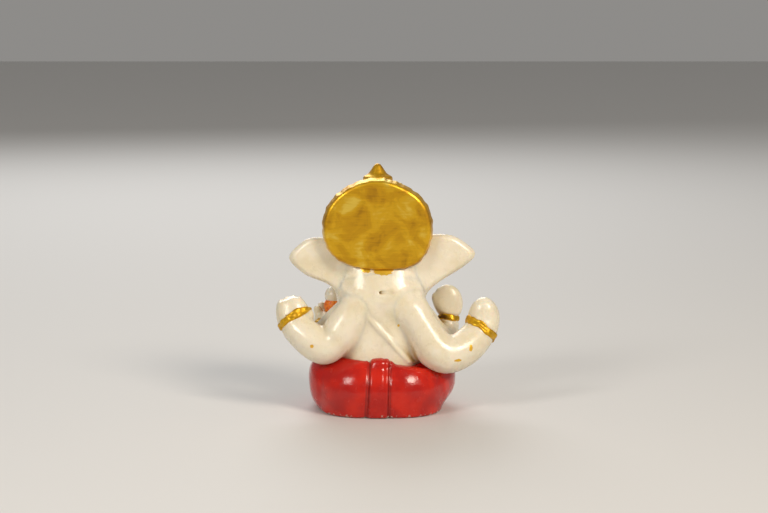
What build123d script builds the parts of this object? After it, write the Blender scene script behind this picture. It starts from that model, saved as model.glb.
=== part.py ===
"""Seated elephant-headed idol with four arms, a gold crown with a halo disc, and a red dhoti.

A painted cast-resin figure, 55 mm tall. It stands on the flat underside of the dhoti. +Z is up and
the face looks along -Y, so the figure's own left side is +X and its back is +Y. The origin is the
middle of the flat base. Lengths are in millimetres.
"""

import math
import os

from build123d import *

os.makedirs("parts", exist_ok=True)

# ---------------------------------------------------------------- driving dimensions
# Seat: the wrapped dhoti that the figure sits in.
seat_width = 28.6  # widest, a third of the way up
seat_depth = 26.0
seat_height = 12.6  # top edge at the waist
seat_back = 13.2  # how far the seat reaches behind the origin
base_inset = 1.0  # how much smaller the flat base is, each side
waist_inset = 4.4  # how much smaller the waist edge is, each side
seat_corner = 10.5  # corner radius of the seat's plan
pleat_width = 4.6
pleat_proud = 0.55  # how far the back pleat stands out of the cloth

# Torso.
torso_width = 20.6  # at the belly
torso_depth = 19.0
torso_rise = 15.0  # waist edge to the neck
socket_depth = 3.2  # how deep the torso's foot sits in the seat
neck_width = 16.8
neck_depth = 11.6
neck_plug = 2.6  # how far the neck runs up into the head
thread_width = 1.5  # sacred thread, a flat raised band
thread_proud = 0.4
thread_tilt = 47.0  # degrees from level
necklace_width = 1.7
necklace_proud = 0.65

# Head.
head_width = 21.4
head_depth = 17.2
head_rise = 14.0  # neck to the flat top that the crown sits on
ear_span = 41.4  # tip to tip
ear_thickness = 2.8
ear_edge = 1.0  # rounding of the ear's rim
trunk_root = 4.3  # radius where the trunk leaves the face
trunk_tip = 1.8
tusk_radius = 0.95
eye_radius = 1.55

# Crown, with the halo disc behind it.
disc_width = 23.6
disc_height = 19.6
disc_thickness = 3.2
disc_flare = 0.6  # how much larger the front of the disc is, all round
disc_back = 6.6  # back face of the disc, behind the origin
brim_height = 2.2
brim_proud = 0.9
crown_rise = 10.4  # flat head top to the foot of the finial
finial_radius = 3.0
finial_height = 3.1
halo_bead = 0.75
brim_bead = 0.55

# Arms and hands.
rear_wrist_left = 3.3
rear_wrist_right = 3.6
front_wrist = 2.3
bangle_width = 1.5
bangle_proud = 0.45
anklet_width = 1.2
anklet_proud = 0.4
laddu_radius = 2.3
finger_radius = 0.95

# Legs and feet.
knee_radius = 4.8
ankle_radius = 2.7
left_ankle_x = -1.9  # the shins cross in the middle, however wide the seat is
right_ankle_x = 1.5
foot_length = 6.2

# Pegs that key one casting into the next, with the gap that the glue fills.
peg_radius = 1.0
peg_length = 3.0
spigot_step = 0.5  # how much thinner than its limb a spigot under a band is
glue_gap = 0.06

# ---------------------------------------------------------------- places worked out from them
neck_z = seat_height + torso_rise
crown_z = neck_z + head_rise
seat_middle = seat_back - seat_depth / 2
disc_front = disc_back - disc_thickness
disc_z = crown_z + 0.4
disc_x = 0.7  # the disc sits a little to the figure's left
head_y = -3.2
shoulder_z = neck_z - 5.6
shoulder_x = torso_width / 2 - 3.3
waist_z = seat_height - socket_depth


def keep_largest(solid):
    """The largest solid of a cut, without the scraps the other side of it."""
    return Part() + max(solid.solids(), key=lambda s: s.volume)


def cylinder_between(start, direction, radius, length):
    """A plain round peg or hole from a point along a direction."""
    with BuildPart() as peg:
        with BuildSketch(Plane(origin=start, z_dir=direction)):
            Circle(radius)
        extrude(amount=length)
    return peg.part


def limb(stations, side=(0, 1, 0)):
    """A round limb lofted through stations of (x, y, z, radius), each square to the route."""
    points = [Vector(*s[:3]) for s in stations]
    last = len(points) - 1
    across = Vector(*side)
    with BuildPart() as piece:
        for i, (point, station) in enumerate(zip(points, stations)):
            along = (points[min(i + 1, last)] - points[max(i - 1, 0)]).normalized()
            across = (across - along * across.dot(along)).normalized()
            with BuildSketch(Plane(origin=point, x_dir=across, z_dir=along)):
                Circle(station[3])
        loft()
    return piece.part


def stack(sections, grow=0.0):
    """A solid lofted through level ellipses of (z, x, y, half width, half depth), grown sideways."""
    with BuildPart() as piece:
        for z, x, y, half_width, half_depth in sections:
            with BuildSketch(Plane.XY.offset(z)):
                with Locations((x, y)):
                    Ellipse(half_width + grow, half_depth + grow)
        loft()
    return piece.part


def seat_block(grow=0.0):
    """The wrapped seat: a rounded block, widest low down, that draws in to the waist."""
    levels = (
        (0.0, base_inset),
        (seat_height * 0.25, 0.1),
        (seat_height * 0.55, 0.0),
        (seat_height * 0.82, waist_inset * 0.38),
        (seat_height, waist_inset),
    )
    with BuildPart() as block:
        for z, inset in levels:
            shrink = 2 * (inset - grow)
            with BuildSketch(Plane.XY.offset(z)):
                with Locations((0, seat_middle)):
                    RectangleRounded(
                        seat_width - shrink,
                        seat_depth - shrink,
                        seat_corner - inset + grow,
                    )
        loft()
    return block.part


def torso_block(grow=0.0):
    """Belly, chest and neck in one loft."""
    half_width = torso_width / 2
    half_depth = torso_depth / 2
    return stack(
        (
            (waist_z, 0, 0.6, half_width - 1.0, half_depth - 0.6),
            (seat_height + 1.6, 0, -0.3, half_width, half_depth),
            (seat_height + torso_rise * 0.36, 0, -0.5, half_width - 0.2, half_depth - 0.5),
            (shoulder_z, 0, 0.5, half_width - 0.9, half_depth - 2.0),
            (neck_z - 2.2, 0, 1.0, neck_width / 2 + 0.7, neck_depth / 2 + 0.7),
            (neck_z + neck_plug, 0, 0.9, neck_width / 2 - 1.6, neck_depth / 2 - 0.9),
        ),
        grow,
    )


def digit(length, radius):
    """A finger or a toe: a round-ended rod that stands on the origin along +Z."""
    with BuildPart() as rod:
        with BuildSketch(Plane.XZ):
            with BuildLine():
                Line((0, 0), (radius, 0))
                Line((radius, 0), (radius, length - radius))
                RadiusArc((radius, length - radius), (0, length), -radius)
                Line((0, length), (0, 0))
            make_face()
        revolve(axis=Axis.Z)
    return rod.part


def stub(plane, radius, length):
    """The round spigot behind a hand or a foot that its band sits on."""
    with BuildPart() as spigot:
        with BuildSketch(plane):
            Circle(radius - spigot_step)
        extrude(amount=-length)
    return spigot.part


def hand(base, lean, wrist, half_width, half_depth, palm, fingers, curl, thumb):
    """A hand that stands on its band: a palm, four fingers side by side, and a thumb.

    The base plane's X axis points at the thumb's side, and lean is the direction the hand points.
    palm is the palm's length, fingers their lengths from the thumb's side outwards, curl their lean
    in degrees about the X axis, and thumb is its (length, height on the palm, lean outwards).
    """
    frame = Plane(origin=base.origin, x_dir=base.x_dir, z_dir=lean)
    levels = (
        (palm * 0.5, half_width, half_depth),
        (palm, half_width * 0.92, half_depth * 0.8),
    )
    pitch = 2 * (half_width - finger_radius) / 3.2
    thumb_length, thumb_height, thumb_lean = thumb
    with BuildPart() as piece:
        with BuildSketch(base):
            Circle(wrist)
        for height, across, through in levels:
            with BuildSketch(frame.offset(height)):
                Ellipse(across, through)
        loft()
        add(stub(base, wrist, bangle_width))
        for i, length in enumerate(fingers):
            root = Location(((1.5 - i) * pitch, 0, palm - 1.2), (curl, 0, 0))
            with Locations(frame.location * root):
                add(digit(length + 1.2, finger_radius))
        thumb_root = Location((half_width - 0.9, 0, thumb_height), (curl, thumb_lean, 0))
        with Locations(frame.location * thumb_root):
            add(digit(thumb_length, finger_radius * 1.1))
    return piece.part


def band(plane, radius, width, proud):
    """A ring with a rounded outside that stands on a plane and sits on a hand's or foot's spigot."""
    with BuildPart() as ring:
        with BuildSketch(plane):
            Circle(radius + proud)
            Circle(radius - spigot_step + glue_gap, mode=Mode.SUBTRACT)
        extrude(amount=width)
        outside = ring.edges().filter_by(GeomType.CIRCLE).filter_by(lambda e: e.radius > radius)
        fillet(outside, proud * 0.8)
    return ring.part


def end_plane(route, step, across):
    """The plane square to the end of a limb's route, moved out along it by a step."""
    end = Vector(*route[-1][:3])
    along = (end - Vector(*route[-2][:3])).normalized()
    return Plane(origin=end + along * step, x_dir=across, z_dir=along)


def midway(a, b, share=0.5):
    """The point a share of the way from a to b."""
    return Vector(*a[:3]) + (Vector(*b[:3]) - Vector(*a[:3])) * share


# ---------------------------------------------------------------- limb routes: x, y, z, radius
def from_shoulder(side, offsets):
    """Stations of an arm, given as steps from the shoulder, for the left (1) or right (-1) side."""
    return [
        (side * (shoulder_x + out), y, shoulder_z + up, radius)
        for out, y, up, radius in offsets
    ]


rear_left_route = from_shoulder(
    1,
    (
        (-2.4, 4.2, 2.6, 2.8),
        (-0.2, 5.4, 0.1, 3.1),
        (2.6, 6.7, -5.1, 3.6),
        (5.4, 6.9, -7.0, 3.9),
        (9.0, 6.0, -5.2, 3.8),
        (11.2, 5.0, -3.4, 3.5),
        (12.2, 4.4, -2.0, rear_wrist_left),
    ),
)
rear_right_route = from_shoulder(
    -1,
    (
        (-1.8, 4.2, 3.0, 2.9),
        (0.8, 5.4, 0.6, 3.2),
        (3.7, 6.7, -5.4, 3.7),
        (7.2, 7.0, -8.6, 4.3),
        (11.4, 5.9, -7.5, 4.0),
        (13.9, 4.8, -5.4, 3.75),
        (14.9, 4.3, -4.1, rear_wrist_right),
    ),
)
front_left_route = from_shoulder(
    1,
    (
        (-1.0, -1.8, 0.4, 2.5),
        (2.8, -2.9, -2.4, 2.8),
        (5.6, -4.2, -5.6, 2.8),
        (6.8, -6.4, -6.6, 2.6),
        (6.4, -8.0, -5.7, front_wrist),
    ),
)
front_right_route = from_shoulder(
    -1,
    (
        (-1.0, -1.8, 0.4, 2.5),
        (2.8, -2.9, -2.4, 2.8),
        (5.4, -3.9, -5.8, 2.8),
        (7.4, -6.0, -6.6, 2.7),
        (8.3, -7.6, -5.1, 2.5),
        (8.4, -7.9, -3.7, front_wrist),
    ),
)
hip_x = seat_width / 2 - 5.6
left_leg_route = (
    (hip_x - 0.6, 5.0, 5.4, knee_radius + 0.4),
    (hip_x + 2.6, 0.2, 5.4, knee_radius + 0.3),
    (hip_x + 2.9, -5.8, 5.0, knee_radius - 0.1),
    (hip_x - 0.6, -11.2, 4.5, knee_radius - 0.7),
    (left_ankle_x + (hip_x - 0.6 - left_ankle_x) * 0.42, -13.6, 3.7, ankle_radius + 0.8),
    (left_ankle_x, -14.0, 3.5, ankle_radius),
)
right_leg_route = (
    (0.6 - hip_x, 5.0, 5.6, knee_radius + 0.4),
    (-2.9 - hip_x, 0.6, 6.8, knee_radius + 0.2),
    (-3.7 - hip_x, -5.4, 7.4, knee_radius),
    (0.4 - hip_x, -10.0, 7.6, knee_radius - 0.8),
    (right_ankle_x - (right_ankle_x - 0.4 + hip_x) * 0.4388, -12.4, 8.3, ankle_radius + 0.6),
    (right_ankle_x, -13.2, 9.0, ankle_radius),
)
laddu_centre = Vector(shoulder_x + 3.8, -11.2, shoulder_z - 0.8)
trunk_route = (
    (0, head_y - 5.4, neck_z + 7.4, trunk_root + 0.3),
    (0, head_y - 8.8, neck_z + 5.2, trunk_root),
    (0.3, head_y - 11.2, neck_z + 1.8, 3.5),
    (1.4, head_y - 12.4, neck_z - 1.0, 3.0),
    (3.8, head_y - 12.6, neck_z - 2.5, 2.7),
    (6.8, head_y - 12.0, neck_z - 2.6, 2.45),
    (laddu_centre.X - 1.7, laddu_centre.Y - 1.7, laddu_centre.Z + 3.7, 2.2),
    (laddu_centre.X - 0.4, laddu_centre.Y - 0.4, laddu_centre.Z + 2.6, 2.0),
    (laddu_centre.X, laddu_centre.Y, laddu_centre.Z + 1.1, trunk_tip),
)

# ---------------------------------------------------------------- torso and seat
torso_whole = torso_block()

rear_pegs = {}
for name, route in (
    ("rear_left", rear_left_route),
    ("rear_right", rear_right_route),
    ("front_left", front_left_route),
    ("front_right", front_right_route),
):
    start = midway(route[1], route[0], 0.35)
    rear_pegs[name] = (start, Vector(*route[0][:3]) - Vector(*route[1][:3]))

crown_peg_start = Vector(0, head_y - 0.4, crown_z + peg_length / 2)

with BuildPart() as torso:
    add(torso_whole)
    for start, direction in rear_pegs.values():
        add(
            cylinder_between(start, direction, peg_radius + glue_gap, peg_length + glue_gap),
            mode=Mode.SUBTRACT,
        )

with BuildPart() as seat_solid:
    add(seat_block())
    add(torso_whole, mode=Mode.SUBTRACT)
dhoti_seat = seat_solid

with BuildPart() as back_pleat:
    add(seat_block(pleat_proud))
    with Locations((0.3, seat_back, seat_height / 2)):
        Box(pleat_width, seat_depth * 0.8, seat_height * 1.2, mode=Mode.INTERSECT)
    add(seat_block(), mode=Mode.SUBTRACT)
    add(torso_whole, mode=Mode.SUBTRACT)

# ---------------------------------------------------------------- legs, feet and anklets
def on_the_floor(solid):
    """The part of a solid that is above the base plane."""
    with BuildPart() as above:
        add(solid)
        split(bisect_by=Plane.XY, keep=Keep.TOP)
    return above.part


def cut(solid, *others):
    """A solid with others cut out of it, without scraps."""
    with BuildPart() as left:
        add(solid)
        for other in others:
            add(other, mode=Mode.SUBTRACT)
    return keep_largest(left.part)


def foot(route, toes_side):
    """A foot past its anklet: heel, sole and five toes, with the spigot that the anklet sits on."""
    frame = end_plane(route, anklet_width, (0, 0, 1))
    with BuildPart() as piece:
        for length, high, wide in (
            (0.0, ankle_radius + 0.02, ankle_radius),
            (foot_length * 0.35, ankle_radius * 1.0, ankle_radius * 0.86),
            (foot_length * 0.75, ankle_radius * 0.98, ankle_radius * 0.66),
        ):
            with BuildSketch(frame.offset(length)):
                Ellipse(high, wide)
        loft()
        add(stub(frame, ankle_radius, anklet_width))
        for i in range(5):
            spread = (i - 2) * ankle_radius * 0.4
            toe = 0.8 if i == 0 else 0.62
            root = Location((spread, 0, foot_length * 0.62), (0, toes_side * (i - 2) * 4, 0))
            with Locations(frame.location * root):
                add(digit(foot_length * 0.36, toe))
    return piece.part


left_leg_whole = on_the_floor(limb(left_leg_route, side=(0, 0, 1)))
right_leg_whole = on_the_floor(limb(right_leg_route, side=(0, 0, 1)))
seat_whole = seat_block()
left_leg = cut(left_leg_whole, seat_whole, torso_whole)
right_leg = cut(right_leg_whole, seat_whole, torso_whole, left_leg_whole)
left_foot = cut(foot(left_leg_route, 1), seat_whole, right_leg_whole)
right_foot = cut(foot(right_leg_route, 1), seat_whole, left_leg_whole)
left_anklet = cut(
    band(end_plane(left_leg_route, 0, (0, 0, 1)), ankle_radius, anklet_width, anklet_proud),
    seat_whole,
    right_leg_whole,
)
right_anklet = cut(
    band(end_plane(right_leg_route, 0, (0, 0, 1)), ankle_radius, anklet_width, anklet_proud),
    seat_whole,
    left_leg_whole,
)

# ---------------------------------------------------------------- head, trunk, tusks and eyes
head_whole = stack(
    (
        (neck_z - 0.4, 0, -0.6, head_width / 2 - 3.4, head_depth / 2 - 3.2),
        (neck_z + 2.2, 0, head_y + 0.6, head_width / 2 - 1.3, head_depth / 2 - 1.2),
        (neck_z + 6.0, 0, head_y, head_width / 2, head_depth / 2),
        (neck_z + 10.4, 0, head_y - 0.2, head_width / 2 - 0.3, head_depth / 2 - 0.3),
        (crown_z, 0, head_y - 0.4, head_width / 2 - 1.5, head_depth / 2 - 1.3),
    )
)


def disc_outline(grow):
    """The disc's outline in X and Z: round above, flatter below, as wide as disc_width."""
    half = disc_width / 2 + grow
    top = disc_height / 2 + grow
    shape = (
        (0.0, 1.0),
        (0.58, 0.79),
        (0.92, 0.36),
        (1.0, -0.13),
        (0.82, -0.68),
        (0.28, -0.97),
        (-0.28, -1.0),
        (-0.72, -0.86),
        (-0.96, -0.4),
        (-0.99, 0.06),
        (-0.85, 0.5),
        (-0.5, 0.83),
    )
    return [(x * half, z * top) for x, z in shape]


with BuildPart() as crown_disc:
    for y, grow in (
        (disc_back, -0.5),
        (disc_back - 0.4, 0.0),
        (disc_front, disc_flare),
    ):
        with BuildSketch(Plane(origin=(disc_x, y, disc_z), x_dir=(1, 0, 0), z_dir=(0, -1, 0))):
            with BuildLine():
                Spline(*disc_outline(grow), periodic=True)
            make_face()
    loft(ruled=True)

trunk_whole = limb(trunk_route, side=(1, 0, 0))
with BuildPart() as laddu:
    with Locations(laddu_centre):
        Sphere(laddu_radius)

with BuildPart() as head_solid:
    add(head_whole)
    add(torso_whole, mode=Mode.SUBTRACT)
    add(crown_disc.part, mode=Mode.SUBTRACT)
    add(
        cylinder_between(
            crown_peg_start, (0, 0, -1), peg_radius + glue_gap, peg_length + glue_gap
        ),
        mode=Mode.SUBTRACT,
    )
head = keep_largest(head_solid.part)
trunk = cut(trunk_whole, head_whole, laddu.part)


def tusk(side, length):
    """A short tusk beside the trunk's root, curving forwards and down."""
    root = Vector(side * (trunk_root + 1.3), head_y - 6.2, neck_z + 4.6)
    step = Vector(side * 0.22, -0.62, -0.5)
    stations = [
        (*(root + step * t), tusk_radius * (1 - 0.6 * t / length))
        for t in (0, length * 0.5, length)
    ]
    return limb(stations, side=(1, 0, 0))


left_tusk = cut(tusk(1, 5.0), head_whole)
right_tusk = cut(tusk(-1, 7.0), head_whole)


def eye(side):
    """An eyeball that stands a little out of the face."""
    with BuildPart() as ball:
        with Locations((side * head_width * 0.21, head_y - head_depth * 0.43, neck_z + 8.2)):
            Sphere(eye_radius)
    return cut(ball.part, head_whole, trunk_whole)


left_eye = eye(1)
right_eye = eye(-1)


def ear(side, rim):
    """A flat ear that sweeps out from the side of the head, thinner towards its rim.

    The rim is given as steps out from the tip of the span and up from the neck.
    """
    root = head_width / 2 - 4.6
    middle_z = neck_z + 6.0
    outline = [(root, neck_z + 10.8)]
    outline += [(ear_span / 2 + out, neck_z + up) for out, up in rim]
    outline += [(root, neck_z - 1.4)]
    with BuildPart() as plate:
        for depth, keep in ((0.0, 1 - ear_edge / 10), (0.5, 1.0), (1.0, 1 - ear_edge / 7)):
            y = disc_front - ear_thickness * depth
            points = [
                (side * (root + (x - root) * keep), middle_z + (z - middle_z) * keep)
                for x, z in outline
            ]
            with BuildSketch(Plane(origin=(0, y, 0), x_dir=(1, 0, 0), z_dir=(0, -1, 0))):
                with BuildLine():
                    Spline(*points)
                    Line(points[-1], points[0])
                make_face()
        loft()
    return plate.part


left_ear_whole = ear(
    1,
    (
        (-7.4, 11.3),
        (-4.6, 11.0),
        (-2.0, 9.2),
        (-0.2, 6.6),
        (-1.6, 4.6),
        (-4.6, 2.4),
        (-8.0, 1.1),
        (-10.4, -0.2),
    ),
)
right_ear_whole = ear(
    -1,
    (
        (-7.0, 12.0),
        (-4.4, 11.5),
        (-1.6, 9.8),
        (0.4, 7.4),
        (-1.0, 5.6),
        (-4.4, 3.2),
        (-7.6, 1.2),
        (-9.8, -0.4),
    ),
)
left_ear = cut(left_ear_whole, head_whole, torso_whole, crown_disc.part)
right_ear = cut(right_ear_whole, head_whole, torso_whole, crown_disc.part)

# ---------------------------------------------------------------- crown
brim_foot = crown_z - brim_height
brim_half_width = head_width / 2 - 0.4
brim_half_depth = head_depth / 2 - 0.4
with BuildPart() as brim_solid:
    with BuildSketch(Plane.XY.offset(brim_foot)):
        with Locations((0, head_y - 0.4)):
            Ellipse(brim_half_width + brim_proud, brim_half_depth + brim_proud)
    extrude(amount=brim_height)
    fillet(brim_solid.edges(), 0.35)
    add(head_whole, mode=Mode.SUBTRACT)
    add(crown_disc.part, mode=Mode.SUBTRACT)
    add(left_ear_whole, mode=Mode.SUBTRACT)
    add(right_ear_whole, mode=Mode.SUBTRACT)
crown_brim = keep_largest(brim_solid.part)

finial_x = disc_x
finial_y = disc_front - finial_radius - 0.6
finial_z = crown_z + crown_rise
cap_width = head_width / 2 - 1.4
cap_depth = head_depth / 2 - 1.4
with BuildPart() as cap_solid:
    for share, shrink in ((0.0, 0.0), (0.3, 0.4), (0.55, 2.4), (0.8, 4.9)):
        with BuildSketch(Plane.XY.offset(crown_z + crown_rise * share)):
            with Locations((finial_x * share, head_y - 0.4 + (finial_y - head_y) * share)):
                Ellipse(cap_width - shrink, cap_depth - shrink)
    with BuildSketch(Plane.XY.offset(finial_z)):
        with Locations((finial_x, finial_y)):
            Ellipse(finial_radius + 0.02, finial_radius)
    loft()
    add(crown_disc.part, mode=Mode.SUBTRACT)
    cap_peg_length = peg_length / 2 + 1 - glue_gap
    add(cylinder_between((0, head_y - 0.4, crown_z + 1), (0, 0, -1), peg_radius, cap_peg_length))
crown_cap = keep_largest(cap_solid.part)

with BuildPart() as crown_finial:
    with BuildSketch(Plane(origin=(finial_x, finial_y, finial_z), x_dir=(1, 0, 0), z_dir=(0, -1, 0))):
        with BuildLine():
            Line((0, 0), (finial_radius, 0))
            Spline(
                (finial_radius, 0),
                (finial_radius * 0.62, finial_height * 0.34),
                (finial_radius * 0.36, finial_height * 0.74),
                (0, finial_height),
                tangents=((-1, 0.35), (-1, 0)),
            )
            Line((0, finial_height), (0, 0))
        make_face()
    revolve(axis=Axis((finial_x, finial_y, finial_z), (0, 0, 1)))


def ring_points(count, half_width, half_depth, first, last):
    """Points round an ellipse in its own plane, from one angle to another, in degrees."""
    for i in range(count):
        turn = math.radians(first + (last - first) * i / (count - 1))
        yield half_width * math.cos(turn), half_depth * math.sin(turn)


with BuildPart() as halo_beads:
    for x, z in ring_points(23, disc_width / 2 - 0.6, disc_height / 2 - 0.6, -4, 184):
        with Locations(Location((disc_x + x, disc_front - 0.2, disc_z + z), (20, 25, 0))):
            Sphere(halo_bead)
    for other in (crown_disc.part, crown_cap, crown_brim, left_ear, right_ear):
        add(other, mode=Mode.SUBTRACT)

with BuildPart() as brim_beads:
    for x, y in ring_points(
        19, brim_half_width + brim_proud, brim_half_depth + brim_proud, 190, 350
    ):
        with Locations(Location((x, head_y - 0.4 + y, brim_foot + brim_height / 2), (20, 25, 0))):
            Sphere(brim_bead)
    add(crown_brim, mode=Mode.SUBTRACT)

jewel_z = crown_z + crown_rise * 0.26
with BuildPart() as jewel_solid:
    with Locations((0, head_y - 0.4 - cap_depth + 0.3, jewel_z)):
        Sphere(1.5)
    add(crown_cap, mode=Mode.SUBTRACT)
crown_jewel = keep_largest(jewel_solid.part)

# ---------------------------------------------------------------- arms, hands and bangles
seat_and_pleat = (seat_whole, back_pleat.part)


def arm(name, route, *others):
    """An arm cut back to the torso's skin, with the peg that keys it in."""
    trimmed = cut(limb(route), torso_whole, *others)
    start, direction = rear_pegs[name]
    with BuildPart() as piece:
        add(trimmed)
        add(cylinder_between(start, direction, peg_radius, peg_length))
    return keep_largest(piece.part)


rear_left_arm = arm("rear_left", rear_left_route, *seat_and_pleat, left_leg_whole)
rear_right_arm = arm("rear_right", rear_right_route, *seat_and_pleat, right_leg_whole)
front_left_arm = arm("front_left", front_left_route, seat_whole, rear_left_arm)
front_right_arm = arm("front_right", front_right_route, seat_whole, right_leg_whole, rear_right_arm)


rear_left_hand = hand(
    end_plane(rear_left_route, bangle_width, (-1, 0, 0)),
    (0.1, -0.2, 1),
    rear_wrist_left,
    rear_wrist_left - 0.1,
    rear_wrist_left - 0.7,
    rear_wrist_left + 0.3,
    (2.0, 1.6, 1.5, 0.9),
    -14,
    (2.8, 0.8, 34),
)
rear_right_hand = hand(
    end_plane(rear_right_route, bangle_width, (1, 0, 0)),
    (-0.06, -0.2, 1),
    rear_wrist_right,
    rear_wrist_right - 0.1,
    rear_wrist_right - 0.8,
    rear_wrist_right + 0.8,
    (1.9, 2.4, 2.1, 1.2),
    12,
    (3.4, 0.8, 6),
)
front_right_hand = hand(
    end_plane(front_right_route, bangle_width, (1, 0, 0)),
    (0.02, -0.06, 1),
    front_wrist,
    front_wrist + 0.8,
    front_wrist - 0.5,
    front_wrist + 1.9,
    (2.3, 2.9, 2.6, 1.9),
    6,
    (3.6, 1.9, 22),
)

palm_centre = laddu_centre + Vector(0.7, 0.2, -2.6)
cupped_base = end_plane(front_left_route, bangle_width, (1, 0, 0))
with BuildPart() as cupped:
    with BuildSketch(cupped_base):
        Circle(front_wrist)
    with BuildSketch(Plane(origin=palm_centre, x_dir=(1, 0, 0), z_dir=(-0.2, -1, 0.2))):
        Ellipse(3.2, 1.7)
    palm_front = palm_centre + Vector(-0.4, -2.0, 0.3)
    with BuildSketch(Plane(origin=palm_front, x_dir=(1, 0, 0), z_dir=(-0.1, -1, 0.4))):
        Ellipse(2.7, 1.3)
    loft()
    add(stub(cupped_base, front_wrist, bangle_width))
    for i in range(4):
        with Locations(Location(palm_centre + Vector(2.2 - 1.5 * i, -1.6, -0.1), (38, 0, 0))):
            add(digit(3.9, finger_radius))
    with Locations(Location(palm_centre + Vector(2.5, 0.4, 0.1), (0, 16, 0))):
        add(digit(2.9, finger_radius))
front_left_hand = cut(cupped.part, laddu.part, trunk)


def bangle(route, wrist):
    """The ring between an arm and its hand."""
    return band(end_plane(route, 0, (0, 1, 0)), wrist, bangle_width, bangle_proud)


rear_left_bangle = bangle(rear_left_route, rear_wrist_left)
rear_right_bangle = bangle(rear_right_route, rear_wrist_right)
front_left_bangle = bangle(front_left_route, front_wrist)
front_right_bangle = bangle(front_right_route, front_wrist)

# ---------------------------------------------------------------- thread and necklace on the torso
limbs_on_torso = (
    rear_left_arm,
    rear_right_arm,
    front_left_arm,
    front_right_arm,
    seat_whole,
    back_pleat.part,
)
with BuildPart() as thread_solid:
    add(torso_block(thread_proud))
    with Locations(Location((-1.6, 0, shoulder_z - 4.8), (0, -thread_tilt, 0))):
        Box(80, 80, thread_width, mode=Mode.INTERSECT)
    add(torso_whole, mode=Mode.SUBTRACT)
    for other in (*limbs_on_torso, head_whole, left_ear, right_ear):
        add(other, mode=Mode.SUBTRACT)
sacred_thread = thread_solid

with BuildPart() as necklace_solid:
    add(torso_block(necklace_proud))
    with Locations(Location((0, -4, neck_z - 4.2), (24, 0, 0))):
        Box(80, 13, necklace_width, mode=Mode.INTERSECT)
    add(torso_whole, mode=Mode.SUBTRACT)
    for other in (*limbs_on_torso, head_whole, left_ear, right_ear, sacred_thread.part):
        add(other, mode=Mode.SUBTRACT)
necklace = keep_largest(necklace_solid.part)

# ---------------------------------------------------------------- write every piece
pieces = {
    "torso": torso.part,
    "sacred_thread": sacred_thread.part,
    "necklace": necklace,
    "dhoti_seat": dhoti_seat.part,
    "dhoti_back_pleat": back_pleat.part,
    "left_leg": left_leg,
    "right_leg": right_leg,
    "left_foot": left_foot,
    "right_foot": right_foot,
    "left_anklet": left_anklet,
    "right_anklet": right_anklet,
    "head": head,
    "trunk": trunk,
    "left_tusk": left_tusk,
    "right_tusk": right_tusk,
    "left_eye": left_eye,
    "right_eye": right_eye,
    "left_ear": left_ear,
    "right_ear": right_ear,
    "crown_disc": crown_disc.part,
    "crown_brim": crown_brim,
    "crown_cap": crown_cap,
    "crown_finial": crown_finial.part,
    "crown_jewel": crown_jewel,
    "halo_beads": halo_beads.part,
    "brim_beads": brim_beads.part,
    "rear_left_arm": rear_left_arm,
    "rear_right_arm": rear_right_arm,
    "front_left_arm": front_left_arm,
    "front_right_arm": front_right_arm,
    "rear_left_hand": rear_left_hand,
    "rear_right_hand": rear_right_hand,
    "front_left_hand": front_left_hand,
    "front_right_hand": front_right_hand,
    "rear_left_bangle": rear_left_bangle,
    "rear_right_bangle": rear_right_bangle,
    "front_left_bangle": front_left_bangle,
    "front_right_bangle": front_right_bangle,
    "laddu": laddu.part,
}
for name, piece in pieces.items():
    piece.label = name
    export_step(piece, f"parts/{name}.step")
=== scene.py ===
"""Looks for the seated idol: a hand-painted resin casting, sculpted as soft blended forms.

Each shape is a block of distance samples in millimetres, negative inside. The blocks come from the
CAD nodes, are blended into one another as a sculptor smooths clay, and are turned into one closed
piece per node, so that the seams lie where one part of the figure meets the next.
"""

import math

import bpy
import numpy as np
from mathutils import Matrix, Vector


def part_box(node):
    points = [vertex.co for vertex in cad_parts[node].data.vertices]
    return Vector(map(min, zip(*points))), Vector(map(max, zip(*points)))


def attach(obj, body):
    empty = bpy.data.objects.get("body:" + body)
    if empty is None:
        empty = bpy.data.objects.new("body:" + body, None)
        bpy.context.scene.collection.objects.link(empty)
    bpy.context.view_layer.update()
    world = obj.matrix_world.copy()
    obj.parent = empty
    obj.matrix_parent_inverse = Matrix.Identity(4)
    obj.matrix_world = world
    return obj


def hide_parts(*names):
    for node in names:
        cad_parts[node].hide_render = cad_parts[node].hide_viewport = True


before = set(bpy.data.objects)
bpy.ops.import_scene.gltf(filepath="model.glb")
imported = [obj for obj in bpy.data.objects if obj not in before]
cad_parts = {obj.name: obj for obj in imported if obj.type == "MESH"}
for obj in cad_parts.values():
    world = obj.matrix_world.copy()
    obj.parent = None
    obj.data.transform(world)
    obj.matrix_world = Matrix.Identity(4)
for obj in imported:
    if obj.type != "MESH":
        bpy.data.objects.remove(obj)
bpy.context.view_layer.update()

import openvdb
from mathutils import Vector

MM = 0.001
GRAIN = 0.2  # mm between samples
REACH = 3.6  # mm round a CAD node within which its distances are exact
FAR = 9.0


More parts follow.
